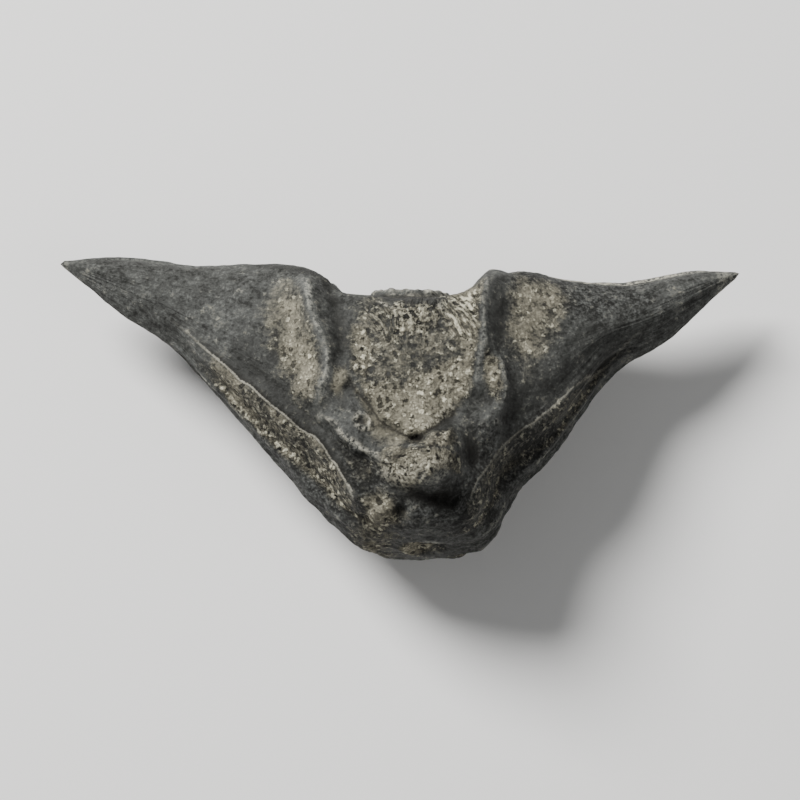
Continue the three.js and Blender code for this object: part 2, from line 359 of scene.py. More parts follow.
CRUST_AREAS = (
    # the shield as a whole, then its bristly top, palest right side, point and left side
    Area(
        ((-5.6, 9.6), (-6.4, 4.6), (-5.8, 1.2), (-3.9, -1.9), (0.4, -5.9), (2.2, -4.4), (3.8, -2.6),
         (5.8, -0.3), (6.5, 2.5), (6.9, 5.5), (7.1, 8.7), (7.9, 12.2), (5.0, 11.4), (-0.3, 10.2),
         (-4.2, 10.4)),
        0.48, 1.4, 1.0),
    Area(((-2.6, 8.8), (-1.8, 5.0), (1.0, 4.5), (3.6, 7.0), (3.4, 9.2), (0.5, 9.4)), 0.72, 1.2, 1.5),
    Area(
        ((2.4, 8.4), (3.6, 10.4), (5.2, 11.0), (7.0, 11.4), (7.2, 9.0), (7.1, 6.0), (6.7, 3.0), (4.6, 3.0)),
        1.0, 1.2, 0.8),
    Area(
        ((-5.2, 0.6), (-4.2, -2.2), (-1.6, -4.8), (0.4, -6.2), (3.6, -3.2), (6.2, 0.2), (6.5, 4.0),
         (3.0, 2.4), (-1.0, -0.2)),
        1.0, 0.9, 0.9),
    Area(((-6.0, 6.4), (-4.4, 6.2), (-3.6, 3.4), (-4.4, 0.2), (-6.0, 1.6)), 0.95, 0.9, 1.1),
    # between the right arc's foot and the thin ridge, and inside the left arc's foot
    Area(((7.2, 3.8), (8.6, 2.4), (9.1, 0.2), (8.6, -1.6), (7.6, -1.0), (6.9, 1.6)), 0.95, 0.7, 0.9),
    Area(((-7.8, 1.6), (-6.6, 2.0), (-6.0, 0.4), (-7.4, -1.0), (-8.2, -0.4)), 0.85, 0.7, 0.5),
    # cheeks
    Area(
        ((-13.9, 9.8), (-12.2, 11.6), (-10.6, 10.0), (-9.2, 5.2), (-8.6, 2.2), (-9.4, -1.0), (-11.2, -1.2),
         (-13.0, 2.7), (-14.2, 6.2)),
        0.80, 2.6, 0.6),
    Area(
        ((-14.2, 5.2), (-12.2, 6.4), (-9.6, 5.8), (-8.7, 2.6), (-9.4, -1.6), (-11.4, -0.8)),
        0.95, 1.8, 0.85),
    Area(
        ((9.9, 10.4), (11.0, 13.0), (14.6, 12.4), (15.6, 10.2), (14.4, 6.7), (12.3, 3.5), (10.2, 3.5),
         (9.6, 6.4)),
        0.86, 2.0, 0.7),
    Area(((10.4, 3.8), (12.6, 3.9), (13.0, 1.2), (11.0, 0.6)), 0.45, 1.2, 0.4),
    # the nub's block and lip, and the rough ground beside them
    Area(
        ((-0.6, -6.2), (0.6, -6.4), (2.0, -5.2), (3.9, -4.6), (4.3, -6.6), (3.4, -7.4), (0.6, -7.2)),
        0.85, 0.7, 1.0),
    Area(
        ((-3.6, -7.6), (-2.0, -6.6), (0.4, -7.4), (3.6, -7.2), (4.5, -7.6), (4.3, -9.0), (1.8, -10.0),
         (-0.4, -10.6), (-2.2, -9.9)),
        0.95, 0.8, 1.1),
    Area(
        ((-5.6, -0.2), (-3.8, -1.9), (0.0, -5.2), (-0.8, -7.0), (-3.4, -6.4), (-4.6, -4.6)),
        0.64, 0.8, 0.35),
    Area(((-6.6, -5.8), (-3.4, -8.0), (-3.4, -9.8), (-5.2, -11.6), (-7.0, -7.2)), 0.4, 1.2, 1.0),
    Area(((-5.0, -11.4), (-3.0, -11.0), (-1.6, -11.6), (-1.4, -13.4), (-4.4, -13.8)), 1.0, 0.8, 0.9),
    Area(((4.8, -2.2), (6.6, -1.8), (7.2, -4.2), (5.4, -8.0), (4.6, -5.6)), 0.25, 1.2, 0.8),
)

DARK_AND_SHADE_AREAS = (
    # dark shell and painted shade: outer flank of the right arc, valley beside the left one, and below the
    # crown's rim then the left shoulder, and between the left cheek and the edge
    Area(((7.7, 12.2), (9.6, 12.8), (9.4, 9.0), (9.4, 5.0), (8.4, 3.6), (7.7, 5.8), (8.0, 9.0)), 0.6, 0.7),
    Area(((-8.6, 11.6), (-7.2, 11.0), (-6.4, 7.4), (-6.4, 2.8), (-7.4, 2.2), (-8.0, 4.4)), 0.3, 0.9),
    Area(((-3.6, 10.6), (-0.6, 11.4), (2.2, 11.0), (2.4, 9.2), (-1.2, 9.1), (-3.4, 9.4)), 0.85, 0.5),
    Area(
        ((-17.5, 15.9), (-12.6, 15.9), (-9.8, 15.0), (-6.0, 12.2), (-6.0, 10.4), (-8.4, 11.4),
         (-10.4, 12.8), (-12.6, 13.7), (-17.5, 15.0)),
        0.9, 0.7),
    Area(
        ((-16.5, 6.6), (-12.6, 1.2), (-9.6, -2.6), (-7.0, -6.6), (-5.4, -10.4), (-8.0, -8.4), (-12.6, -2.2),
         (-18.5, 3.8)),
        0.6, 1.6),
    # dark shell and painted shade between the right cheek and the edge, under the nub, and on the neck right
    # of the crown
    Area(
        ((9.4, 0.4), (8.4, -3.4), (11.8, -2.6), (17.0, 2.4), (20.5, 6.4), (17.6, 8.4), (13.8, 3.4)),
        0.5, 1.6),
    Area(
        ((-2.2, -10.6), (0.0, -11.0), (3.4, -10.2), (4.6, -9.4), (5.6, -12.0), (1.6, -12.4), (-1.0, -12.2)),
        0.15, 0.7),
    Area(((5.2, 12.4), (8.2, 14.0), (8.8, 12.4), (6.8, 11.2)), 0.35, 0.8),
)

RUGGED_AREAS = (
    # root of the right horn, both lower edges, the stem's half of the face, and the shoulders
    Area(((13.2, 8.6), (14.6, 13.6), (18.0, 14.4), (24.0, 14.0), (25.0, 11.0), (19.0, 8.4)), 0.9, 2.0),
    Area(
        ((-15.5, 1.0), (-9.6, -3.4), (-6.0, -9.6), (-5.4, -15.0), (6.6, -15.0), (6.8, -8.0), (12.6, -1.0),
         (16.0, -2.0), (8.0, -17.0), (-8.0, -17.0), (-18.0, 0.0)),
        0.9, 1.5),
    Area(
        ((-8.0, -4.6), (-3.4, -7.4), (-2.0, -11.0), (5.0, -10.0), (7.0, -4.0), (9.0, -6.0), (6.0, -13.8),
         (-6.0, -13.8)),
        1.0, 1.5),
    Area(((-14.0, 14.6), (-9.0, 13.6), (-5.6, 10.8), (-6.6, 9.6), (-9.8, 11.6), (-14.0, 13.0)), 0.8, 1.0),
    Area(((10.0, 15.0), (9.6, 10.4), (15.6, 13.6), (15.0, 15.4)), 0.7, 1.2),
)

CREST_LINES = (
    # the crests of the arcs, which stay smooth and are rubbed pale, partly as painted highlight
    Line(LEFT_ARC.path, 1.0, (0.35, 0.75), (0.1, 0.1)),
    Line(RIGHT_ARC.path, 1.0, (0.55, 0.45), (0.1, 0.1)),
)

DIM_LINES = (
    # dirt and painted shade in the V and at its point, in small holes and beside bristles
    Line(VEE.path, 0.6, (0.17, 0.17), (0.1, 0.1)),
    Line(((0.1, -5.6), (0.7, -5.6)), 2.0, (0.32, 0.32)),
    Line(((-5.1, -3.9), (-4.7, -3.8)), 0.8, (0.28, 0.28)),
    Line(((-1.6, -8.3), (-0.7, -7.7)), 1.0, (0.45, 0.45)),
    Line(((0.9, -7.5), (2.1, -7.0)), 0.9, (0.35, 0.35)),
    Line(((3.3, -6.6), (3.8, -5.4)), 0.9, (0.45, 0.45)),
    Line(((2.4, -9.3), (3.8, -8.5)), 0.8, (0.4, 0.4)),
    Line(((-0.6, -6.4), (0.6, -6.7)), 0.6, (0.3, 0.3)),
    Line(((-1.0, 9.7), (0.4, 8.9), (0.7, 8.4)), 0.9, (0.3, 0.3), (0.2, 0.2)),
    Line(((2.0, 9.3), (2.6, 8.1), (3.4, 6.9)), 1.0, (0.28, 0.28), (0.2, 0.3)),
    Line(((-4.2, 9.6), (-2.6, 8.4), (-1.2, 7.4)), 0.7, (0.25, 0.25), (0.2, 0.3)),
)

PALE_LINES = (
    # pale wear and painted highlight on the dimple's ring, the ledge beside the V, the nub's lip, the rib
    # beside it and two bristles below the crown
    Line(
        ((-5.3, -3.1), (-5.6, -3.7), (-5.4, -4.3), (-4.9, -4.6), (-4.3, -4.3), (-4.2, -3.6)),
        0.8, (0.2, 0.2)),
    Line(((0.8, -4.9), (1.7, -4.2), (3.2, -2.9), (4.4, -1.7)), 0.9, (0.35, 0.3), (0.1, 0.2)),
    Line(
        ((-3.4, -8.0), (-1.7, -9.5), (-0.4, -10.1), (1.7, -9.3), (4.0, -8.1)),
        0.9, (0.5, 0.5), (0.15, 0.15)),
    Line(LEFT_RIB.path, 0.6, (0.2, 0.2), (0.3, 0.1)),
    Line(((-3.8, 9.9), (-2.2, 8.7), (-0.8, 7.7)), 1.0, (0.24, 0.24), (0.2, 0.3)),
    Line(((2.6, 9.4), (3.2, 8.2), (4.0, 7.0)), 1.0, (0.25, 0.25), (0.2, 0.3)),
)


# ---------------------------------------------------------------- the nub, the crown and the stem scar


@dataclass(frozen=True)
class Nub:
    """The knob below the shield, and the smaller one on the back."""

    at: Point = (1.0, -8.8)
    side: float = 3.4
    above: float = 3.4
    below: float = 1.9
    front: float = 3.6
    back: float = 2.2
    sag: float = 0.25
    fall: float = 1.3
    roundness: float = 2.4

    def share(self, x: Array, y: Array) -> Array:
        """Finds how far the nub stands out.

        Args:
            x: Places along the horns, seen from the face's own side.
            y: Places towards the crown.

        Returns:
            A share of the nub's height at each place.
        """
        dy = y - self.at[1]
        r = np.hypot((x - self.at[0]) / self.side, dy / np.where(dy > 0, self.above, self.below))
        return np.exp(-self.fall * r**self.roundness)


@dataclass(frozen=True)
class Button:
    """A round flat place: the crown, which stands up with a pore in it, or the stem scar, sunk in a ring.

    x, radius and step are the place's middle, size and height or depth. inner and inner_step are the same of
    the pore or the ring.
    """

    x: float
    radius: float
    step: float
    inner: float
    inner_step: float

    def distance(self, points: Array) -> Array:
        """How far each place lies from the button's middle line, in millimetres."""
        return np.hypot(points[:, 0] - self.x, points[:, 2])

    def disc(self, distance: Array, edge: float) -> Array:
        """1 on the button to 0 off it, over an edge of the given half width."""
        return 1 - smoothstep(distance, self.radius - edge, self.radius + edge)


# ---------------------------------------------------------------- the nut


# places of the sections along a horn, and there the y and z of the points that a section runs through
SECTION_X = np.array((-4.8, 0.0, 4.8, 6.7, 9.4, 12.0, 16.0, 21.5, 24.5, 28.0, 34.5))
SECTION_ROWS = {
    "top": np.array((11.3, 10.9, 11.3, 11.8, 14.2, 15.35, 15.45, 15.35, 15.75, 16.2, 16.1)),
    "brow_y": np.array((10.0, 9.5, 10.0, 10.5, 12.5, 13.4, 13.8, 13.9, 14.5, 15.1, 16.0)),
    "brow_z": np.array((6.2, 6.3, 6.2, 6.0, 5.4, 4.5, 3.3, 2.3, 2.0, 1.6, 0.25)),
    "face_y": np.array((3.2, 3.0, 3.2, 3.6, 4.8, 6.2, 8.2, 10.4, 11.8, 13.3, 15.9)),
    "face_z": np.array((8.3, 8.4, 8.3, 8.1, 7.6, 6.7, 5.3, 3.8, 3.2, 2.45, 0.3)),
    "edge_y": np.array((-11.8, -12.4, -11.8, -9.3, -5.0, -2.8, 1.0, 6.5, 9.0, 11.4, 15.8)),
    "edge_z": np.array((6.8, 7.0, 6.8, 6.5, 5.9, 5.3, 4.2, 2.7, 2.2, 1.65, 0.25)),
    "keel": np.array((-13.8, -14.1, -13.8, -13.1, -10.0, -6.6, -1.4, 5.2, 7.7, 10.2, 15.7)),
}


@dataclass
class CaltropNut:
    """The whole nut: its sizes in millimetres and degrees, its mesh and what its finish reads."""

    name: str = "water_caltrop"
    span: float = 69.0
    steps_along: int = 300
    steps_round: int = 320
    even_steps: float = 0.55
    brow_at: float = 0.13
    face_at: float = 0.35
    edge_at: float = 0.79
    lean_forward: float = 5.9
    lean_sideways: float = 1.15
    flat_depth: float = 0.3
    left_horn_extra: float = 1.0
    right_horn_droop: float = 1.7
    waist_lift: float = 0.8
    keel_lift: float = 2.7
    stem_shift: float = 1.1
    right_edge: float = 0.5
    warp_reach: float = 0.32
    warp_size: float = 2.6
    nub: Nub = Nub()
    crown: Button = Button(-0.1, 4.4, 1.1, 1.2, 1.4)
    scar: Button = Button(0.6, 1.9, 0.4, 2.6, 0.2)

    def plain(self, share: Array, turn: Array) -> Array:
        """The shell with no relief.

        Args:
            share: Place along the horns, -1 at the left tip to 1 at the right one.
            turn: Place round the section, 0 at the top edge, above 0 in front and 1 at the keel.

        Returns:
            One point per place.
        """
        x = self.span / 2 * (self.even_steps * share + (1 - self.even_steps) * share**3)
        row = {name: through(SECTION_X, values, np.abs(x)) for name, values in SECTION_ROWS.items()}
        zero = np.zeros_like(x)
        knots = np.array(
            (-self.brow_at, 0.0, self.brow_at, self.face_at, self.edge_at, 1.0, 2.0 - self.edge_at))
        y_rows = np.stack([
            row["brow_y"], row["top"], row["brow_y"], row["face_y"], row["edge_y"], row["keel"],
            row["edge_y"]])
        z_rows = np.stack([
            -row["brow_z"], zero, row["brow_z"], row["face_z"], row["edge_z"], zero, -row["edge_z"]])
        q = np.abs(turn)
        z = through(knots, z_rows, q)
        return np.stack([x, through(knots, y_rows, q), np.where(turn < 0, -z, z)], axis=1)

    def outward(self, share: Array, turn: Array) -> Array:
        """Finds which way is out of the plain shell.

        Args:
            share: Place along the horns, -1 to 1.
            turn: Place round the section, -1 to 1.

        Returns:
            One direction of length 1 per place.
        """
        e = 1e-3
        low, high = np.clip(share - e, -1, 1), np.clip(share + e, -1, 1)
        along = self.plain(high, turn) - self.plain(low, turn)
        across = self.plain(share, (turn + e + 1) % 2 - 1) - self.plain(share, (turn - e + 1) % 2 - 1)
        normal = np.cross(across, along)
        return normal / np.maximum(np.linalg.norm(normal, axis=1, keepdims=True), 1e-12)

    def face_relief(self, x: Array, y: Array) -> Array:
        """Adds up the ribs, grooves and hollows of one face.

        Args:
            x: Places along the horns, seen from the face's own side.
            y: Places towards the crown.

        Returns:
            The height at each place, in millimetres.
        """
        height = sum(line.relief(x, y) for line in FRONT_LINES)
        height = height + sum(self.right_edge * line.relief(x, y) + line.relief(-x, y) for line in SIDE_LINES)
        return height + sum(patch.relief(x, y) for patch in PATCHES + SMALL_PATCHES)

    def band_relief(self, x: Array, turn: Array) -> Array:
        """The shallow trough and rounded rim between edge ridge and keel."""
        reach = smoothstep(np.abs(x), 3, 6) * (1 - smoothstep(np.abs(x), 19, 25))
        q = np.abs(turn)
        return reach * (0.4 * bell(q - 0.945, 0.022) - 0.35 * bell(q - 0.89, 0.032))

    def rim_relief(self, x: Array, turn: Array) -> Array:
        """The narrow rim along the top edge of each horn."""
        reach = smoothstep(np.abs(x), 9, 12) * (1 - smoothstep(np.abs(x), 29, 34))
        return 0.35 * reach * bell(turn, 0.018)

    def finished(self, share: Array, turn: Array, warp: Array) -> Array:
        """The shell with its ribs, nubs, crown and stem scar, still upright.

        Args:
            share: Place along the horns, -1 to 1.
            turn: Place round the section, -1 to 1.
            warp: Small shift of the relief's pattern along x and y, one row per place.

        Returns:
            One point per place.
        """
        points = self.plain(share, turn)
        x, y, z = points.T
        wx, wy = x + warp[:, 0], y + warp[:, 1]
        front = smoothstep(z, -1.2, 1.2)
        relief = self.face_relief(wx, wy) * front + self.face_relief(-wx, wy) * (1 - front)
        relief = relief * (1 - smoothstep(np.abs(x), 20, 27))
        height = relief + self.band_relief(x, turn) + self.rim_relief(x, turn)
        finished = points + self.outward(share, turn) * height[:, None]

        nub_front = self.nub.front * self.nub.share(wx, wy) * smoothstep(z, 1, 4)
        nub_back = self.nub.back * self.nub.share(-wx, wy) * smoothstep(-z, 1, 4)
        finished[:, 2] += nub_front - nub_back
        finished[:, 1] -= self.nub.sag * (nub_front + nub_back)
        finished[:, 1] += self.ends_relief(points)
        return self.bent(finished, y, turn)

    def ends_relief(self, points: Array) -> Array:
        """Finds how far crown and stem scar move the plain shell up, which at the stem is inwards.

        Args:
            points: The plain shell.

        Returns:
            The move at each place, in millimetres.
        """
        y = points[:, 1]
        out = self.crown.distance(points)
        pore = 1 - smoothstep(out, self.crown.inner - 0.8, self.crown.inner + 0.8)
        crown = self.crown.step * self.crown.disc(out, 0.6) - self.crown.inner_step * pore
        out = self.scar.distance(points)
        ring = bell(out - self.scar.inner, 0.7)
        scar = self.scar.step * self.scar.disc(out, 0.7) - self.scar.inner_step * ring
        return smoothstep(y, 7.5, 9.5) * crown + smoothstep(-y, 10, 13) * scar

    def bent(self, points: Array, y: Array, turn: Array) -> Array:
        """Bends the even shell, so that its halves differ as the nut's own do.

        Args:
            points: The shell with its relief.
            y: Places of the plain shell towards the crown.
            turn: Place round the section, -1 to 1.

        Returns:
            The bent shell's points.
        """
        out = points[:, 0]
        droop = smoothstep(out, 8, 18) * (1 - 0.5 * smoothstep(out, 24, 34))
        waist = smoothstep(out, 4, 9) * (smoothstep(y, -13, -9) - smoothstep(y, -8, 2))
        keel = bell(out - 19.3, 4.0) * smoothstep(np.abs(turn), 0.3, 0.8)
        up = self.waist_lift * waist + self.keel_lift * keel - self.right_horn_droop * droop
        left = self.left_horn_extra * smoothstep(np.abs(out), 12, self.span / 2)
        right = self.stem_shift * smoothstep(-y, 7, 14)
        return points + np.stack([right - left, up, 0 * out], axis=1)

    def on_faces(self, points: Array, read: Callable[[Array, Array], Array]) -> Array:
        """Reads a pattern on the front face, and turned round on the back.

        Args:
            points: Places on the shell.
            read: Gives the pattern's value at places x and y, seen from the face's own side.

        Returns:
            The pattern's value at each place.
        """
        x, y, z = points.T
        front = smoothstep(z, -1.0, 1.0)
        return read(x, y) * front + read(-x, y) * (1 - front)

    def lined(self, points: Array, lines: Sequence[Line]) -> Array:
        """How strongly lines that only show in the finish do so at each place."""
        return np.maximum.reduce([self.on_faces(points, line.relief) for line in lines])

    def covered(self, points: Array, areas: Sequence[Area]) -> Array:
        """How strongly the strongest of some areas covers each place."""
        return np.maximum.reduce([self.on_faces(points, area.cover) for area in areas])

    def seam(self, points: Array) -> tuple[Array, Array]:
        """Finds the edge ridge.

        Args:
            points: Places on the shell.

        Returns:
            The distance from the ridge, above 0 on the band's side, and how strongly it shows.
        """
        x, y, _ = points.T
        distance, strength = EDGE_RIDGE.nearest(np.abs(x), y)
        return distance, strength * (1 - 0.5 * smoothstep(x, -2, 4))

    def vee(self, points: Array) -> tuple[Array, Array]:
        """Finds the V in which the shield ends.

        Args:
            points: Places on the shell.

        Returns:
            The distance from the V, above 0 on the shield's side, and how strongly it shows.
        """
        x, y, z = points.T
        return VEE.nearest(np.where(z > 0, x, -x), y)

    def rim(self, points: Array, share: Array, turn: Array) -> Array:
        """Finds where the top edge and the tip of each horn are rubbed pale, the top edge also as a painted
        highlight.

        Args:
            points: Places on the shell.
            share: Place along the horns, -1 to 1.
            turn: Place round the section, -1 to 1.

        Returns:
            0 elsewhere to 1 on the edge and the tips.
        """
        x = points[:, 0]
        top = bell(np.abs(turn) - 0.022, 0.022) * smoothstep(np.abs(x), 7, 10)
        top = top * (0.65 + 0.35 * smoothstep(x, -5, 5))
        return np.maximum(top, smoothstep(np.abs(share + 0.012), 0.955, 0.985))

    def crown_top(self, points: Array) -> Array:
        """How surely each place lies on the crown's round top, inside its rim."""
        inside = 1 - smoothstep(self.crown.distance(points), self.crown.radius - 0.9, self.crown.radius - 0.3)
        return inside * smoothstep(points[:, 1], 9.0, 9.8)

    def bristly(self, points: Array) -> Array:
        """Finds where bristles show: below the crown and on its top.

        Args:
            points: Places on the shell.

        Returns:
            How strongly they show, from 0 to 1.
        """
        x, y, _ = points.T
        below = smoothstep(y, 3, 6.5) * (1 - smoothstep(np.abs(x - 1.2), 4.5, 6.5))
        below = below * (1 - smoothstep(y, 9.5, 11))
        return np.maximum(below, self.crown_top(points))

    def fan(self, points: Array) -> Array:
        """Moves the shell into a space where bristles are long: hanging ones along y and z, rays outwards.

        Args:
            points: Places on the shell.

        Returns:
            One point of that space per place.
        """
        x, y, z = points.T
        slant = 0.9 * (1 - smoothstep(x, -3.5, -0.5)) - 0.15 + 0.7 * smoothstep(x, 1.5, 4)
        hanging = np.stack([(x + slant * (y - 8)) / 0.34, y / 1.3, z / 1.3], axis=1)
        angle = np.arctan2(z, x - self.crown.x)
        out = self.crown.distance(points)
        rays = np.stack([8.0 * np.cos(angle), 8.0 * np.sin(angle), out / 1.6], axis=1)
        return np.where(self.crown_top(points)[:, None] > 0.02, rays, hanging)

    def strands(self, share: Array, turn: Array) -> Array:
        """A space where a step round the shell counts far more than one along it, for fibres."""
        angle = turn * math.pi
        return np.stack([7.5 * np.cos(angle), 7.5 * np.sin(angle), 5.0 * share], axis=1)

    def stringy(self, points: Array, turn: Array) -> Array:
        """Finds where fibres show: most on the bands and on the necks beside the crown.

        Args:
            points: Places on the shell.
            turn: Place round the section, -1 to 1.

        Returns:
            How strongly they show, from 0.15 to 2.
        """
        out, q = np.abs(points[:, 0]), np.abs(turn)
        band = smoothstep(q, 0.78, 0.84) * (1 - smoothstep(out, 20, 28))
        neck = bell(out - 7.5, 2.5) * (1 - smoothstep(q, 0.08, 0.13))
        return np.clip(smoothstep(out, 9, 18) * 0.8 + band * 2.0 + neck * 1.6, 0.15, 2)

    def crust(self, points: Array, turn: Array) -> tuple[Array, Array, Array]:
        """Finds where gritty crust lies, and where smooth shell is dark in colour and in painted shade.

        Args:
            points: Places on the shell.
            turn: Place round the section, -1 to 1.

        Returns:
            How much crust lies at each place, how gritty it is there, and how dark the shell is, painted
            shade included.
        """
        x, y, _ = points.T
        dark = self.covered(points, DARK_AND_SHADE_AREAS)
        clear = (1 - dark) * (1 - 0.85 * self.lined(points, CREST_LINES))
        covers = [self.on_faces(points, area.cover) * clear for area in CRUST_AREAS]
        grits = [area.grit for area in CRUST_AREAS]

        reach = smoothstep(np.abs(x), 2, 5) * (1 - smoothstep(np.abs(x), 17, 23))
        reach = reach * (1 - 0.4 * smoothstep(x, -2, 4))
        q = np.abs(turn)
        outer = 0.91 + 0.025 * smoothstep(np.abs(x), 9, 15)
        band = smoothstep(self.seam(points)[0], 0.0, 0.3) * (1 - smoothstep(q, outer - 0.01, outer + 0.02))
        grain_row = bell(q - outer + 0.012, 0.012)
        foot = bell(np.hypot(x + 3.6, y + 12.9), 2.2)
        scar = self.scar.disc(self.scar.distance(points), 0.6) * smoothstep(-y, 10, 13)
        covers += [0.62 * band * reach, grain_row * reach, 0.9 * foot, scar, 0.45 * self.crown_top(points)]
        grits += [1.0, 1.3, 0.9, 0.9, 0.5]

        weights = np.array(covers) ** 3
        little, usual_grit = 0.001, 0.7
        grit = (np.array(grits) @ weights + usual_grit * little) / (weights.sum(0) + little)
        return np.clip(np.maximum.reduce(covers), 0, 1), grit, dark

    def crown_marks(self, points: Array) -> tuple[Array, Array, Array]:
        """Finds the crown's pale rim and pore's lip, the painted shade below the rim, and dirt and painted
        shade in the pore.

        Args:
            points: Places on the shell.

        Returns:
            How pale each place is, how much painted shade lies below the rim, and how much dirt and painted
            shade lies in the pore.
        """
        y = points[:, 1]
        out = self.crown.distance(points)
        top = smoothstep(y, 9.0, 9.8)
        broken = smoothstep(speckle(points, 1.2, 2, Seed.BREAKS), -0.30, 0.25)
        rim = 0.85 * smoothstep(y, 10.2, 11.2) * bell(out - self.crown.radius + 0.25, 0.35)
        lip = 0.5 * bell(out - 1.1, 0.25) * top
        # painted shade in a band below the crown's rim
        shade_below_rim = smoothstep(y, 9.6, 10.2) * bell(out - self.crown.radius - 0.45, 0.45)
        # dirt and painted shade in the pore
        pore = 2.0 * (1 - smoothstep(out, 0.3, 0.8)) * top
        return broken * np.maximum(rim, lip), (0.9 - 0.45 * broken) * shade_below_rim, pore

    def marks(self, points: Array, share: Array, turn: Array, warp: Array) -> dict[str, Array]:
        """Finds where each part of the finish lies.

        Args:
            points: The finished shell.
            share: Place along the horns, -1 to 1.
            turn: Place round the section, -1 to 1.
            warp: Small shift of the patterns along x and y, one row per place.

        Returns:
            One number per place under each name that the finish reads.
        """
        warp = np.pad(warp, ((0, 0), (0, 1)))
        swapped = warp[:, (1, 0, 2)]
        crust, grit, dark = self.crust(points + 0.5 * swapped, turn)
        bare_rough = 0.3
        rugged = np.maximum(bare_rough, self.covered(points + 0.5 * swapped, RUGGED_AREAS))
        seam, seam_strength = self.seam(points + 0.5 * warp)
        vee, vee_strength = self.vee(points + 0.6 * swapped)

        x = points[:, 0]
        right_top = smoothstep(x, 5, 10) * (1 - smoothstep(x, 26, 31))
        # the right horn's top edge and tip, rubbed pale and lit as a painted highlight
        horn_pale = 0.8 * self.rim(points, share, turn) * right_top
        crown_pale, crown_rim_shade, crown_dim = self.crown_marks(points)
        pale = np.maximum.reduce((self.lined(points + warp, PALE_LINES), crown_pale, horn_pale))
        return {
            "crust": crust,
            "grit": grit,
            "rugged": rugged,
            "dark": np.maximum(dark, crown_rim_shade),
            "dim": np.maximum(self.lined(points + warp, DIM_LINES), crown_dim),
            "pale": pale,
            "seam": seam,
            "seam_strength": seam_strength,
            "vee": vee,
            "vee_strength": vee_strength,
        }

    def weather(self, points: Array, share: Array, turn: Array, gritty: Array) -> Array:
        """Finds what grew and wore on the shell: lumps, fibres along the horns, bristles, grit and pits.

        Args:
            points: The finished shell.
            share: Place along the horns, -1 to 1.
            turn: Place round the section, -1 to 1.
            gritty: How strongly grit shows at each place.

        Returns:
            Height to add at each place, in millimetres.
        """
        x, y, _ = points.T
        low = (1 - smoothstep(np.abs(x), 7, 14)) * (1 - smoothstep(y, -3, 4))
        broad = 0.15 * speckle(points, 4.5, 2, Seed.BROAD_LUMPS)
        small = 0.09 * speckle(points, 1.5, 3, Seed.SMALL_LUMPS)
        crown_rim = bell(self.crown.distance(points) - self.crown.radius, 0.7) * smoothstep(y, 9.5, 10.5)
        crown_rim = 0.45 * crown_rim * speckle(points, 1.1, 2, Seed.CROWN_RIM)
        fibres = 0.08 * self.stringy(points, turn) * speckle(self.strands(share, turn), 1.0, 3, Seed.FIBRES)
        bristles = 0.20 * self.bristly(points) * speckle(self.fan(points), 1.3, 2, Seed.BRISTLES)
        sand = 0.9 * (0.45 - cells(points, 0.6)) + 1.1 * speckle(points, 0.65, 2, Seed.SAND)
        tips = 1 - smoothstep(np.abs(share), 0.94, 1.0)
        lumps = (0.7 + 0.9 * low) * (broad + small) + crown_rim
        return (lumps + fibres + bristles + 0.14 * gritty * sand) * tips

    def lay_down(self, points: Array) -> Array:
        """Turns the upright shell on to its back and wears its low points flat.

        Args:
            points: The upright shell, in millimetres.

        Returns:
            The lying shell's points, in millimetres, with the floor at z = 0.
        """
        turn = Matrix.Rotation(math.radians(self.lean_sideways), 3, "Y")
        turn = turn @ Matrix.Rotation(-math.radians(self.lean_forward), 3, "X")
        points = points @ np.array(turn).T
        low, high = points.min(0), points.max(0)
        middle = (low + high) / 2
        points = points - np.array((middle[0], middle[1], low[2] + self.flat_depth))
        points[:, 2] = np.maximum(points[:, 2], 0.0)
        return points

    def ball(self) -> bpy.types.Mesh:
        """Starts the nut as a smooth ball of radius 1, with its poles where the horns' tips will be.

        Returns:
            The ball's mesh.
        """
        mesh = bpy.data.meshes.new(self.name)
        ball = bmesh.new()
        bmesh.ops.create_uvsphere(
            ball, u_segments=self.steps_round, v_segments=self.steps_along, radius=1.0,
            matrix=Matrix.Rotation(math.pi / 2, 4, "Y"))
        for face in ball.faces:
            face.smooth = True
        ball.to_mesh(mesh)
        ball.free()
        return mesh

    def build(self) -> bpy.types.Object:
        """Models the nut and writes what its finish reads on to the mesh.

        Returns:
            The nut's object, at the origin, in metres.
        """
        mesh = self.ball()
        unit = read_points(mesh)
        share = 1 - 2 * np.arccos(np.clip(unit[:, 0], -1, 1)) / math.pi
        turn = np.arctan2(unit[:, 2], unit[:, 1]) / math.pi
        plain = self.plain(share, turn)
        shifts = [speckle(plain, self.warp_size, 2, seed) for seed in (Seed.SHIFT_X, Seed.SHIFT_Y)]
        warp = self.warp_reach * np.stack(shifts, axis=1)
        points = self.finished(share, turn, warp)
        marks = self.marks(points, share, turn, warp)

        write_points(mesh, points)
        gritty = np.maximum(marks["crust"] * marks["grit"], 0.8 * marks["rugged"] - 0.1)
        points = points + read_normals(mesh) * self.weather(points, share, turn, gritty)[:, None]
        height = np.einsum("ij,ij->i", points - plain, self.outward(share, turn))
        # hollow darkens places for dirt and painted shade; edge lightens them for wear and painted highlight
        marks["hollow"], edge = hollows_and_edges(mesh, height)
        # the arcs' crests, rubbed pale, partly as painted highlight
        crests = 0.75 * self.lined(points, CREST_LINES)
        marks["edge"] = np.maximum.reduce((edge, self.rim(points, share, turn), crests))
        marks["stringy"] = self.stringy(points, turn)
        marks["strand"] = self.strands(share, turn)
        marks["bristly"] = self.bristly(points)
        marks["fan"] = self.fan(points)

        write_points(mesh, self.lay_down(points) * MM)
        for name, values in marks.items():
            write_attribute(mesh, name, values)
        nut = bpy.data.objects.new(self.name, mesh)
        bpy.context.scene.collection.objects.link(nut)
        return nut


# ---------------------------------------------------------------- reading and writing meshes


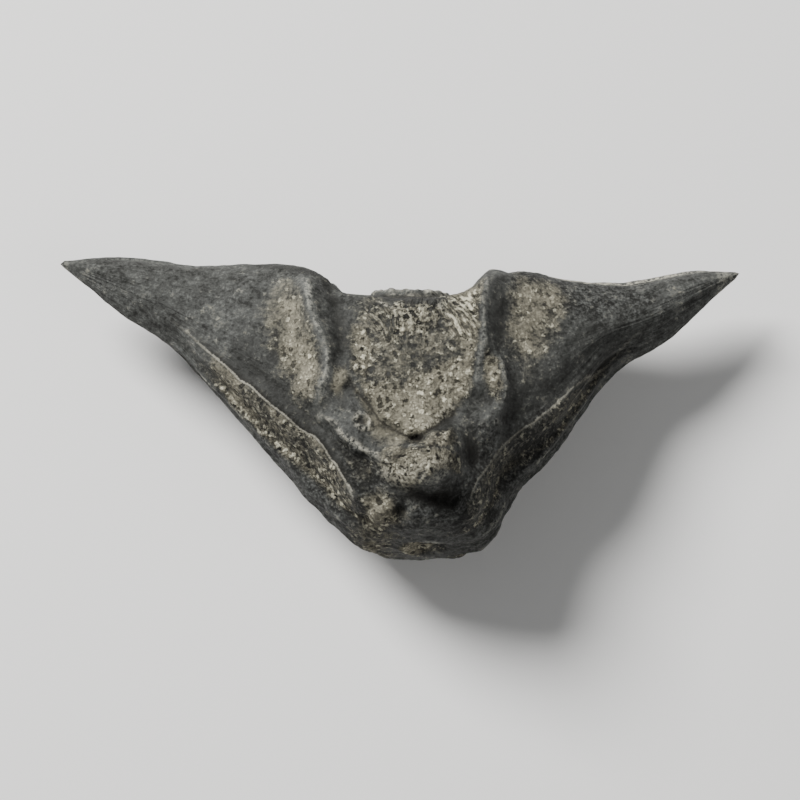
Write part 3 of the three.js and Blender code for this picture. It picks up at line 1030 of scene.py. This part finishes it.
def read_points(mesh: bpy.types.Mesh) -> Array:
    """The mesh's points, one row each."""
    flat = np.zeros(len(mesh.vertices) * 3)
    mesh.vertices.foreach_get("co", flat)
    return flat.reshape(-1, 3)


def write_points(mesh: bpy.types.Mesh, points: Array) -> None:
    """Moves the mesh's points."""
    mesh.vertices.foreach_set("co", points.astype(np.float32).ravel())
    mesh.update()


def read_normals(mesh: bpy.types.Mesh) -> Array:
    """The mesh's outward directions, one row per point."""
    flat = np.zeros(len(mesh.vertices) * 3, np.float32)
    mesh.vertices.foreach_get("normal", flat)
    return flat.reshape(-1, 3).astype(float)


def write_attribute(mesh: bpy.types.Mesh, name: str, values: Array) -> None:
    """Stores a number or a vector per point under a name that the finish reads.

    Args:
        mesh: The mesh to write to.
        name: The attribute's name.
        values: One number or one row of three per point.
    """
    kind, field = ("FLOAT", "value") if values.ndim == 1 else ("FLOAT_VECTOR", "vector")
    attribute = mesh.attributes.new(name, kind, "POINT")
    attribute.data.foreach_set(field, values.astype(np.float32).ravel())


def relaxed(values: Array, edges: Array, rounds: int) -> Array:
    """Evens numbers out over a mesh by moving each towards its neighbours' mean, a number of rounds.

    Args:
        values: One number per point.
        edges: One row of two point numbers per edge.
        rounds: How often all numbers move.

    Returns:
        The evened numbers.
    """
    kept, taken = 0.4, 0.6
    count = np.bincount(edges.ravel(), minlength=len(values))
    for _ in range(rounds):
        total = np.bincount(edges[:, 0], values[edges[:, 1]], len(values))
        total += np.bincount(edges[:, 1], values[edges[:, 0]], len(values))
        values = kept * values + taken * total / count
    return values


def hollows_and_edges(mesh: bpy.types.Mesh, height: Array) -> tuple[Array, Array]:
    """Finds where dirt gathers and shade is painted, and where the shell is rubbed and painted with
    highlights.

    Args:
        mesh: The nut's mesh.
        height: How far each point stands out from the plain shell, in millimetres.

    Returns:
        How deep each place lies in a hollow, and how sharply it stands out, both from 0 to 1.
    """
    edges = np.zeros(len(mesh.edges) * 2, np.int32)
    mesh.edges.foreach_get("vertices", edges)
    edges = edges.reshape(-1, 2)
    keen = relaxed(height, edges, 2)
    soft = relaxed(keen, edges, 25)
    broad = relaxed(soft, edges, 125)
    wide_hollow = smoothstep(broad - soft, 0.03, 0.40)
    narrow_hollow = 0.8 * smoothstep(soft - keen, 0.05, 0.22)
    return np.maximum(wide_hollow, narrow_hollow), smoothstep(keen - soft, 0.06, 0.20)


# ---------------------------------------------------------------- shader maths


class Value:
    """A shader socket that Python's operators work on by adding Math nodes."""

    def __init__(self, graph: "Graph", socket: bpy.types.NodeSocket) -> None:
        """Wraps a socket of a graph."""
        self.graph = graph
        self.socket = socket

    def math(self, operation: str, first: "Number", second: "Number") -> "Value":
        """Adds a Math node that works on two numbers."""
        return self.graph.node("ShaderNodeMath", {"operation": operation}, {0: first, 1: second})

    def __add__(self, other: "Number") -> "Value":
        """self + other."""
        return self.math("ADD", self, other)

    __radd__ = __add__

    def __mul__(self, other: "Number") -> "Value":
        """self * other."""
        return self.math("MULTIPLY", self, other)

    __rmul__ = __mul__

    def __sub__(self, other: "Number") -> "Value":
        """self - other."""
        return self.math("SUBTRACT", self, other)

    def __rsub__(self, other: float) -> "Value":
        """other - self."""
        return self.math("SUBTRACT", other, self)

    def step(self, low: float, high: float) -> "Value":
        """Makes a soft step of the value.

        Args:
            low: Where the step is 0.
            high: Where the step is 1, which may lie below low.

        Returns:
            The step's height.
        """
        start, end, at_start, at_end = (low, high, 0.0, 1.0) if low < high else (high, low, 1.0, 0.0)
        return self.graph.node(
            "ShaderNodeMapRange", {"interpolation_type": "SMOOTHSTEP"},
            {0: self, 1: start, 2: end, 3: at_start, 4: at_end})


Number = Union[Value, float]
Input = Union[Value, float, Sequence[float]]
Name = Union[int, str]
Settings = dict[str, Union[str, bool]]
Inputs = dict[Name, Input]


class Graph:
    """A material's node tree."""

    def __init__(self, material: bpy.types.Material) -> None:
        """Clears a material's tree and makes its coordinates in millimetres.

        Args:
            material: The material to work on.
        """
        material.use_nodes = True
        self.tree = material.node_tree
        self.tree.nodes.clear()
        place = self.node("ShaderNodeTexCoord", output="Object")
        self.place = self.node("ShaderNodeVectorMath", {"operation": "SCALE"}, {0: place, "Scale": 1 / MM})

    def node(
            self, kind: str, settings: Optional[Settings] = None, inputs: Optional[Inputs] = None,
            output: Optional[Name] = 0) -> Optional[Value]:
        """Adds a node.

        Args:
            kind: The node's type.
            settings: Its properties, set before its sockets are filled.
            inputs: Values or links, by socket name or number.
            output: Name or number of the output to use, or None for a node that has none.

        Returns:
            The output's socket, or None.
        """
        made = self.tree.nodes.new(kind)
        for name, setting in (settings or {}).items():
            setattr(made, name, setting)
        for name, value in (inputs or {}).items():
            if isinstance(value, Value):
                self.tree.links.new(value.socket, made.inputs[name])
            else:
                made.inputs[name].default_value = value
        return None if output is None else Value(self, made.outputs[output])

    def surface(self, inputs: Inputs) -> None:
        """Covers the material with a Principled surface that has the given inputs."""
        shader = self.node("ShaderNodeBsdfPrincipled", {}, inputs)
        self.node("ShaderNodeOutputMaterial", {}, {"Surface": shader}, None)

    def attribute(self, name: str, output: str = "Fac") -> Value:
        """A number, or with output Vector a vector, that the mesh holds."""
        return self.node("ShaderNodeAttribute", {"attribute_name": name}, output=output)

    def clouds(
            self, size: float, detail: float = 3.0, rough: float = 0.55,
            place: Optional[Value] = None) -> Value:
        """Makes soft noise.

        Args:
            size: Size of its largest lumps, in millimetres or in the space's own steps.
            detail: How many finer layers are added.
            rough: How strong the finer layers are.
            place: The space that it lies in, if not the coordinates in millimetres.

        Returns:
            The noise, from 0 to 1.
        """
        inputs = {"Vector": place or self.place, "Scale": 1 / size, "Detail": detail, "Roughness": rough}
        return self.node("ShaderNodeTexNoise", {}, inputs, "Fac")

    def warped(self, size: float, amount: float) -> Value:
        """Shifts the coordinates about by noise.

        Args:
            size: Size of the noise's largest lumps, in millimetres.
            amount: Twice the furthest shift, in millimetres.

        Returns:
            The shifted coordinates.
        """
        inputs = {"Vector": self.place, "Scale": 1 / size, "Detail": 2.0}
        shift = self.node("ShaderNodeTexNoise", {}, inputs, "Color")
        inputs = {0: shift, 1: (amount, amount, amount), 2: self.place}
        return self.node("ShaderNodeVectorMath", {"operation": "MULTIPLY_ADD"}, inputs)

    def mix(self, share: Input, first: Input, second: Input) -> Value:
        """Goes from one colour to another.

        Args:
            share: 0 for the first colour to 1 for the second.
            first: Colour or link.
            second: Colour or link.

        Returns:
            The mixed colour.
        """
        settings = {"data_type": "RGBA", "clamp_factor": True}
        return self.node("ShaderNodeMix", settings, {0: share, 6: rgba(first), 7: rgba(second)}, 2)


def rgba(colour: Input) -> Input:
    """A colour of three numbers gets a fourth, and a link stays as it is."""
    return colour if isinstance(colour, Value) else (*colour, 1.0)


# ---------------------------------------------------------------- finish


class Patterns:
    """The noises of the shell's finish, and what the mesh says of where its parts lie."""

    def __init__(self, graph: Graph) -> None:
        """Reads the mesh's numbers and makes the noises, from large to small.

        Args:
            graph: The material's node tree.
        """
        self.crust = graph.attribute("crust")
        self.grit = graph.attribute("grit")
        self.rugged = graph.attribute("rugged")
        self.hollow = graph.attribute("hollow")
        self.edge = graph.attribute("edge")
        self.bristly = graph.attribute("bristly")
        self.stringy = graph.attribute("stringy")
        self.broad = graph.clouds(5.0)
        self.blotch = graph.clouds(1.6, 5.0, 0.6)
        self.mottle = graph.clouds(0.42, 5.0, 0.72)
        self.fibre = graph.clouds(0.30, 4.0, 0.6, graph.attribute("strand", "Vector"))
        self.bristle = graph.clouds(1.0, 2.0, 0.5, graph.attribute("fan", "Vector")).step(0.40, 0.62)
        place = graph.warped(0.6, 0.45)
        self.coarse = self.grains(graph, 0.78, place)
        self.fine = self.grains(graph, 0.32, place)
        self.pits = self.grains(graph, 0.85, place)

    def grains(self, graph: Graph, size: float, place: Value) -> Value:
        """Makes separate small grains of different heights.

        Args:
            graph: The material's node tree.
            size: How far apart they lie, in millimetres.
            place: The space that they lie in.

        Returns:
            0 between the grains to about 1 on the highest.
        """
        inputs = {"Vector": place, "Scale": 1 / size}
        far = graph.node("ShaderNodeTexVoronoi", {}, inputs, "Distance")
        chance = graph.node("ShaderNodeTexVoronoi", {}, inputs, "Color")
        tall = graph.node("ShaderNodeSeparateColor", {}, {0: chance}, "Red")
        return (1.0 - far.step(0.05, 0.75)) * (0.25 + tall * 0.75)


@dataclass(frozen=True)
class WoodyShell:
    """Dark dry shell: smooth slate-grey ridges, pale gritty crust in places, dirt and painted shade in
    hollows.
    """

    name: str = "woody_shell"
    # colour of dirt, of dark pits and of painted shade
    dirt_and_shade: Colour = (0.010, 0.009, 0.007)
    # dark shell colour, also the colour of the painted shade in the dark areas
    dark: Colour = (0.014, 0.014, 0.012)
    slate: Colour = (0.044, 0.045, 0.041)
    # rubbed and worn tones, also used for painted highlights on edges and crests
    rubbed_and_highlight: Colour = (0.102, 0.105, 0.098)
    worn_and_highlight: Colour = (0.36, 0.35, 0.29)
    # colour of the pale lines of wear and of painted highlight
    line: Colour = (0.52, 0.49, 0.39)
    crust_dark: Colour = (0.036, 0.034, 0.027)
    crust_tan: Colour = (0.210, 0.194, 0.145)
    crust_pale: Colour = (0.70, 0.66, 0.50)
    gloss: float = 0.22
    refraction: float = 1.48

    def coat(self, graph: Graph, on: Patterns) -> tuple[Value, Value, Value]:
        """Colours the gritty crust.

        Args:
            graph: The material's node tree.
            on: The patterns that it follows.

        Returns:
            The crust's colour, its tone, and how far its grains stand above its pits.
        """
        patchy = (on.blotch - 0.5) * 1.1 + (on.broad - 0.5) * 0.5
        sand = (on.mottle - 0.5) * 1.3 + (on.fine - 0.28) * 0.55
        tone = 0.08 + on.crust * 0.42 + patchy + sand * on.grit + (on.bristle - 0.40) * on.bristly * 0.85
        tone = tone + (on.fibre - 0.5) * on.stringy * 0.35
        colour = graph.mix(tone.step(-0.10, 0.58), self.crust_dark, self.crust_tan)
        colour = graph.mix(tone.step(0.45, 1.05) * (0.20 + on.crust * 0.60), colour, self.crust_pale)

        speck = (on.mottle - 0.5) * 2.8
        dense = on.grit * 0.25 - 0.22
        glint = (on.coarse + speck + dense).step(0.40, 0.72)
        pit = (on.pits - speck + dense).step(0.42, 0.74)
        colour = graph.mix(glint * on.grit * 0.85, colour, self.crust_pale)
        colour = graph.mix(pit * on.grit * 0.90, colour, self.dirt_and_shade)
        return colour, tone, glint - pit

    def bare_shell(self, graph: Graph, on: Patterns) -> tuple[Value, Value]:
        """Colours the shell where no crust lies.

        Args:
            graph: The material's node tree.
            on: The patterns that it follows.

        Returns:
            The shell's colour and its tone.
        """
        uneven = on.mottle * 2.0 + on.blotch * 0.6 - 1.3
        bare = 0.50 + (on.broad - 0.5) * 0.6 + (on.blotch - 0.5) * 1.0 + uneven * on.rugged * 1.1
        bare = bare + (on.mottle - 0.5) * 0.9 + (on.fine - 0.28) * on.rugged * 0.60
        bare = bare + (on.fibre - 0.5) * on.stringy * 0.50
        colour = graph.mix(bare.step(0.20, 0.50), self.dark, self.slate)
        colour = graph.mix(bare.step(0.48, 0.86), colour, self.rubbed_and_highlight)

        flecks = on.coarse.step(0.50, 0.85) * on.mottle.step(0.44, 0.58) * (0.15 + on.rugged * 0.75)
        colour = graph.mix(flecks * on.broad.step(0.42, 0.60) * 0.6, colour, self.worn_and_highlight)
        # edges, rims and crests rubbed pale, partly as painted highlight
        colour = graph.mix(on.edge * on.mottle.step(0.30, 0.55) * 0.7, colour, self.rubbed_and_highlight)
        colour = graph.mix(on.edge.step(0.5, 1.0) * on.mottle.step(0.42, 0.60) * 0.55, colour, self.worn_and_highlight)
        # dark shell and painted shade from the dark areas
        dark_and_shade_mask = graph.attribute("dark") * on.mottle.step(0.22, 0.52)
        return graph.mix(dark_and_shade_mask * 0.96, colour, self.dark), bare

    def marked(self, graph: Graph, on: Patterns, colour: Value) -> Value:
        """Adds dirt and painted shade in hollows and grooves, and the pale lines of wear and painted
        highlight.

        Args:
            graph: The material's node tree.
            on: The patterns that it follows.
            colour: The shell with its crust.

        Returns:
            The finished colour.
        """
        cloudy = on.mottle + on.blotch
        # dirt and painted shade in the hollows, broken up unevenly
        uneven_dirt_and_shade = 0.40 + cloudy.step(0.75, 1.15) * 0.60
        colour = graph.mix(on.hollow * uneven_dirt_and_shade * (0.90 - on.crust * 0.60), colour, self.dirt_and_shade)
        # dirt and painted shade along the dim lines: the V, its point, small holes and beside bristles
        colour = graph.mix(graph.attribute("dim") * on.mottle.step(0.30, 0.50) * 0.85, colour, self.dirt_and_shade)
        # pale lines of wear and painted highlight
        colour = graph.mix(graph.attribute("pale") * on.mottle.step(0.42, 0.58) * 0.8, colour, self.line)

        # dirt and painted shade in the V's groove
        vee = graph.attribute("vee") + (on.mottle - 0.5) * 0.6
        shows = graph.attribute("vee_strength") * cloudy.step(0.70, 1.10)
        colour = graph.mix(vee.step(-0.24, -0.08) * vee.step(0.16, 0.02) * shows * 0.65, colour, self.dirt_and_shade)

        # painted shadow on the face side of the edge ridge, then a painted highlight along its crest
        seam = graph.attribute("seam") + (on.mottle - 0.5) * 0.5
        shows = graph.attribute("seam_strength") * cloudy.step(0.70, 1.05)
        colour = graph.mix(seam.step(-0.8, -0.1) * seam.step(0.0, -0.1) * shows * 0.8, colour, self.dirt_and_shade)
        return graph.mix(seam.step(-0.10, 0.02) * seam.step(0.20, 0.08) * shows * 0.42, colour, self.line)

    def build(self) -> bpy.types.Material:
        """Makes the material.

        Returns:
            The material, to be put on the nut.
        """
        material = bpy.data.materials.new(self.name)
        graph = Graph(material)
        on = Patterns(graph)
        coat, tone, grainy = self.coat(graph, on)
        shell, bare = self.bare_shell(graph, on)
        torn = (on.blotch - 0.5) * 1.5 + (on.mottle - 0.5) * 1.5 + (on.broad - 0.5) * 0.8
        ragged = (on.crust * 1.05 + torn).step(0.10, 1.00)
        colour = self.marked(graph, on, graph.mix(ragged, shell, coat))

        height = (tone + grainy * 0.5) * (ragged * on.grit * 0.22 + 0.03)
        height = height + bare * on.rugged * 0.16 + on.fibre * on.stringy * 0.06
        height = height + on.bristle * on.bristly * 0.12 + graph.clouds(0.22, 4.0) * 0.06
        bump = graph.node("ShaderNodeBump", {}, {"Strength": 1.0, "Distance": MM, "Height": height}, "Normal")
        graph.surface({
            "Base Color": colour,
            "Roughness": 0.60 + on.blotch * 0.16 + ragged * 0.20 + on.hollow * 0.1,
            "Normal": bump,
            "IOR": self.refraction,
            "Specular IOR Level": self.gloss,
        })
        return material


@dataclass(frozen=True)
class PlainFloor:
    """The pale even surface under the nut."""

    name: str = "floor"
    colour: Colour = (0.80, 0.79, 0.77)
    rough: float = 0.8

    def build(self) -> bpy.types.Material:
        """Makes the material.

        Returns:
            The material, to be put on the floor.
        """
        material = bpy.data.materials.new(self.name)
        Graph(material).surface({"Base Color": rgba(self.colour), "Roughness": self.rough})
        return material


# ---------------------------------------------------------------- studio


class Side(Enum):
    """Where a soft light stands, as metres from the scene's middle."""

    KEY = (-0.36, 0.34, 0.46)
    FILL = (0.45, -0.25, 0.40)


@dataclass(frozen=True)
class Lamp:
    """A soft round light: the side it stands on, its power in watts and its width in metres."""

    side: Side
    power: float
    width: float

    def hang(self, aim: Vector) -> None:
        """Hangs the light and turns it towards a point.

        Args:
            aim: The point that it shines at.
        """
        name = self.side.name.lower()
        lamp = bpy.data.lights.new(name, "AREA")
        lamp.shape = "DISK"
        lamp.energy = self.power
        lamp.size = self.width
        holder = bpy.data.objects.new(name, lamp)
        holder.location = Vector(self.side.value)
        holder.rotation_euler = (aim - holder.location).to_track_quat("-Z", "Y").to_euler()
        bpy.context.scene.collection.objects.link(holder)


@dataclass(frozen=True)
class Studio:
    """The pale floor, soft lights and camera, in metres and degrees."""

    floor_size: float = 3.0
    elevation: float = 76.6
    lens: float = 180.0
    sensor: float = 36.0
    distance: float = 0.40
    lamps: tuple[Lamp, ...] = (Lamp(Side.KEY, 11.0, 0.30), Lamp(Side.FILL, 1.1, 0.50))
    sky: float = 0.14
    sky_colour: Colour = (0.93, 0.96, 1.0)

    def floor(self) -> bpy.types.Object:
        """Lays the floor under the nut.

        Returns:
            The floor's object.
        """
        mesh = bpy.data.meshes.new("floor")
        flat = bmesh.new()
        bmesh.ops.create_grid(flat, x_segments=1, y_segments=1, size=self.floor_size / 2)
        flat.to_mesh(mesh)
        flat.free()
        floor = bpy.data.objects.new("floor", mesh)
        mesh.materials.append(PlainFloor().build())
        bpy.context.scene.collection.objects.link(floor)
        return floor

    def camera(self, aim: Vector) -> None:
        """Sets up the camera, looking down on the nut.

        Args:
            aim: The point in the middle of the view.
        """
        data = bpy.data.cameras.new("camera")
        data.lens = self.lens
        data.sensor_width = self.sensor
        holder = bpy.data.objects.new("camera", data)
        tilt = math.radians(self.elevation)
        holder.location = aim + self.distance * Vector((0.0, -math.cos(tilt), math.sin(tilt)))
        holder.rotation_euler = (math.pi / 2 - tilt, 0.0, 0.0)
        bpy.context.scene.collection.objects.link(holder)
        bpy.context.scene.camera = holder

    def sky_light(self) -> None:
        """Fills the room with even light."""
        world = bpy.data.worlds.new("room")
        world.use_nodes = True
        background = world.node_tree.nodes["Background"]
        background.inputs["Color"].default_value = rgba(self.sky_colour)
        background.inputs["Strength"].default_value = self.sky
        bpy.context.scene.world = world

    def build(self, aim: Vector) -> None:
        """Sets the whole studio round a point.

        Args:
            aim: The middle of the nut.
        """
        self.floor()
        for lamp in self.lamps:
            lamp.hang(aim)
        self.sky_light()
        self.camera(aim)


# ---------------------------------------------------------------- all together


def main() -> None:
    """Builds the nut and the studio in order, and reports each piece."""
    logging.basicConfig(level=logging.INFO, format="%(message)s")
    nut = CaltropNut().build()
    nut.data.materials.append(WoodyShell().build())
    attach(nut, "root")
    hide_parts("nut")
    log.info("nut: %d faces", len(nut.data.polygons))

    low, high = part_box("nut")
    studio = Studio()
    studio.build((low + high) / 2)
    log.info("studio: a floor, %d lights and a camera", len(studio.lamps))


if __name__ == "__main__":
    main()
